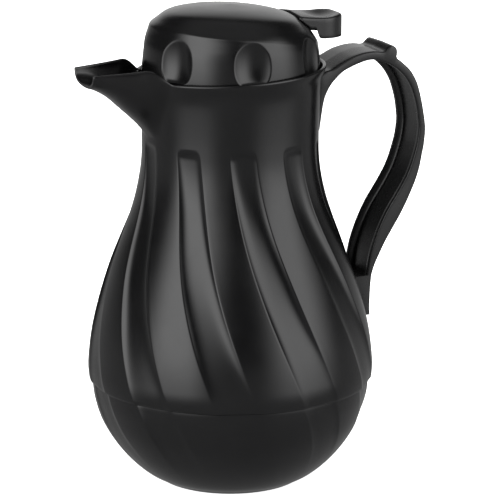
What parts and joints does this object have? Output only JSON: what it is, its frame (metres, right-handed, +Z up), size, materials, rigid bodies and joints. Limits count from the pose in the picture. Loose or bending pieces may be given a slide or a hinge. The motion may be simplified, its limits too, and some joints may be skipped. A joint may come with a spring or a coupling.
{
  "type": "insulated coffee server",
  "caption": "Hand-held insulated coffee server: swirl-fluted double-wall body on a round base, strap handle, open pouring spout, and a lift-out stopper lid with a sprung thumb lever.",
  "frame": {"origin": "centre of the flat rest face under the base", "axes": "+Z up along the body axis, +X from the axis towards the handle, -X towards the pouring spout"},
  "size_m": [0.1967, 0.159, 0.2668],
  "materials": {
    "black_gloss_plastic": "high gloss moulded, near black",
    "black_satin_plastic": "satin gloss moulded, near black",
    "dark_inner_plastic": "fine matt moulded",
    "white_plastic": "smooth white acetal",
    "pad_rubber": "matt moulded rubber",
    "foam": "rigid closed-cell foam, pale yellow",
    "liner_steel": "spun stainless steel, satin",
    "silicone": "translucent grey silicone",
    "bright_steel": "bright stainless steel"
  },
  "bodies": {
    "jug": {"base_pad": "pad_rubber", "base_shell": "black_gloss_plastic", "fill_plug": "dark_inner_plastic", "outer_shell": "black_gloss_plastic", "insulation_foam": "foam", "liner_bowl": "liner_steel", "liner_neck": "liner_steel", "liner_gasket": "silicone", "neck_collar": "dark_inner_plastic", "handle": "black_satin_plastic", "handle_screws": "bright_steel"},
    "gasket": {"lid_gasket": "silicone"},
    "lid": {"lid_body": "dark_inner_plastic", "chamber_cover": "dark_inner_plastic", "valve_guide": "white_plastic", "lid_insulation": "foam", "lid_screws": "bright_steel", "lid_cap": "black_gloss_plastic", "lever_pin": "bright_steel"},
    "thumb_lever": {"lever": "black_satin_plastic"},
    "valve": {"valve_stem": "white_plastic", "valve_disc": "dark_inner_plastic", "valve_seal": "silicone", "spring_seat": "bright_steel", "stem_clip": "bright_steel", "return_spring": "bright_steel"}
  },
  "joints": [
    {"name": "lid_lift", "type": "slide", "parent": "jug", "child": "gasket", "axis": [0, 0, 1], "range_m": [0, 0.08]},
    {"name": "lid_turn", "type": "hinge", "parent": "gasket", "child": "lid", "pos_m": [0, 0, 0.2], "axis": [0, 0, 1], "range_deg": [0, 90]},
    {"name": "lever_press", "type": "hinge", "parent": "lid", "child": "thumb_lever", "pos_m": [0.038, 0, 0.2485], "axis": [0, 1, 0], "range_deg": [0, 10.8]},
    {"name": "valve_lift", "type": "slide", "parent": "lid", "child": "valve", "axis": [0, 0, 1], "range_m": [0, 0.0066], "stiffness_N_per_m": 300, "springref_m": -0.004, "deforming": ["return_spring"]}
  ],
  "couplings": [
    {"joint": "lever_press", "follows": "valve_lift", "rad_per_m": 26.316}
  ]
}
